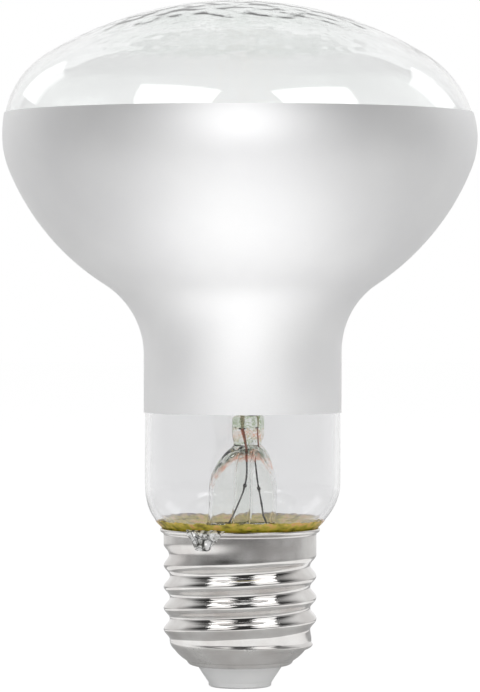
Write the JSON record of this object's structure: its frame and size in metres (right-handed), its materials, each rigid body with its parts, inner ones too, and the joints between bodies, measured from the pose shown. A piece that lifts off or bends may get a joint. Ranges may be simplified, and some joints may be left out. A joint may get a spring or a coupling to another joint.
{
  "type": "led grow light bulb",
  "caption": "Reflector lamp with a clear dome, satin metallised band, glass stem with LED filaments and a screw cap.",
  "frame": {"origin": "centre of the contact face at the foot of the screw cap", "axes": "+Z along the lamp's axis, from the cap to the top of the dome; +X to the right and -Y to the front of the picture"},
  "size_m": [0.0808, 0.0808, 0.1166],
  "materials": {
    "clear_glass": "clear blown glass, smooth",
    "satin_metallising": "satin silver coating on glass",
    "nickel_plate": "nickel-plated rolled sheet, semi-gloss",
    "solder": "crumpled tin solder",
    "cement": "yellow-green lamp cement",
    "white_plastic": "white moulded plastic",
    "contact_brass": "plated contact",
    "lead_wire": "drawn wire",
    "dumet_copper": "copper-red sealing wire",
    "phosphor_coat": "silicone with phosphor",
    "circuit_board": "glass-fibre board",
    "moulded_black": "moulded epoxy",
    "capacitor_sleeve": "shrink sleeve",
    "resistor_body": "lacquered body",
    "wire_sleeve": "sleeved wire"
  },
  "bodies": {
    "root": {"bridge_rectifier": "moulded_black", "cap_cement": "cement", "cap_insulator": "white_plastic", "cap_shell": "nickel_plate", "centre_wire": "wire_sleeve", "chip_resistor_1": "moulded_black", "chip_resistor_2": "moulded_black", "contact_pin": "contact_brass", "driver_board": "circuit_board", "driver_ic": "moulded_black", "dumet_lead_left": "dumet_copper", "dumet_lead_right": "dumet_copper", "exhaust_tube": "clear_glass", "filament_pin_1_lower": "nickel_plate", "filament_pin_1_upper": "nickel_plate", "filament_pin_2_lower": "nickel_plate", "filament_pin_2_upper": "nickel_plate", "filament_pin_3_lower": "nickel_plate", "filament_pin_3_upper": "nickel_plate", "filament_pin_4_lower": "nickel_plate", "filament_pin_4_upper": "nickel_plate", "fusible_resistor": "resistor_body", "glass_envelope": "clear_glass", "glass_post": "clear_glass", "inner_lead_left": "lead_wire", "inner_lead_right": "lead_wire", "led_filament_1": "phosphor_coat", "led_filament_2": "phosphor_coat", "led_filament_3": "phosphor_coat", "led_filament_4": "phosphor_coat", "neutral_wire": "wire_sleeve", "outer_lead_left": "lead_wire", "outer_lead_right": "lead_wire", "reflector_coating": "satin_metallising", "side_solder": "solder", "smoothing_capacitor": "capacitor_sleeve", "stem_flare": "clear_glass", "top_bridge_wire_1": "lead_wire", "top_bridge_wire_2": "lead_wire"}
  },
  "joints": []
}
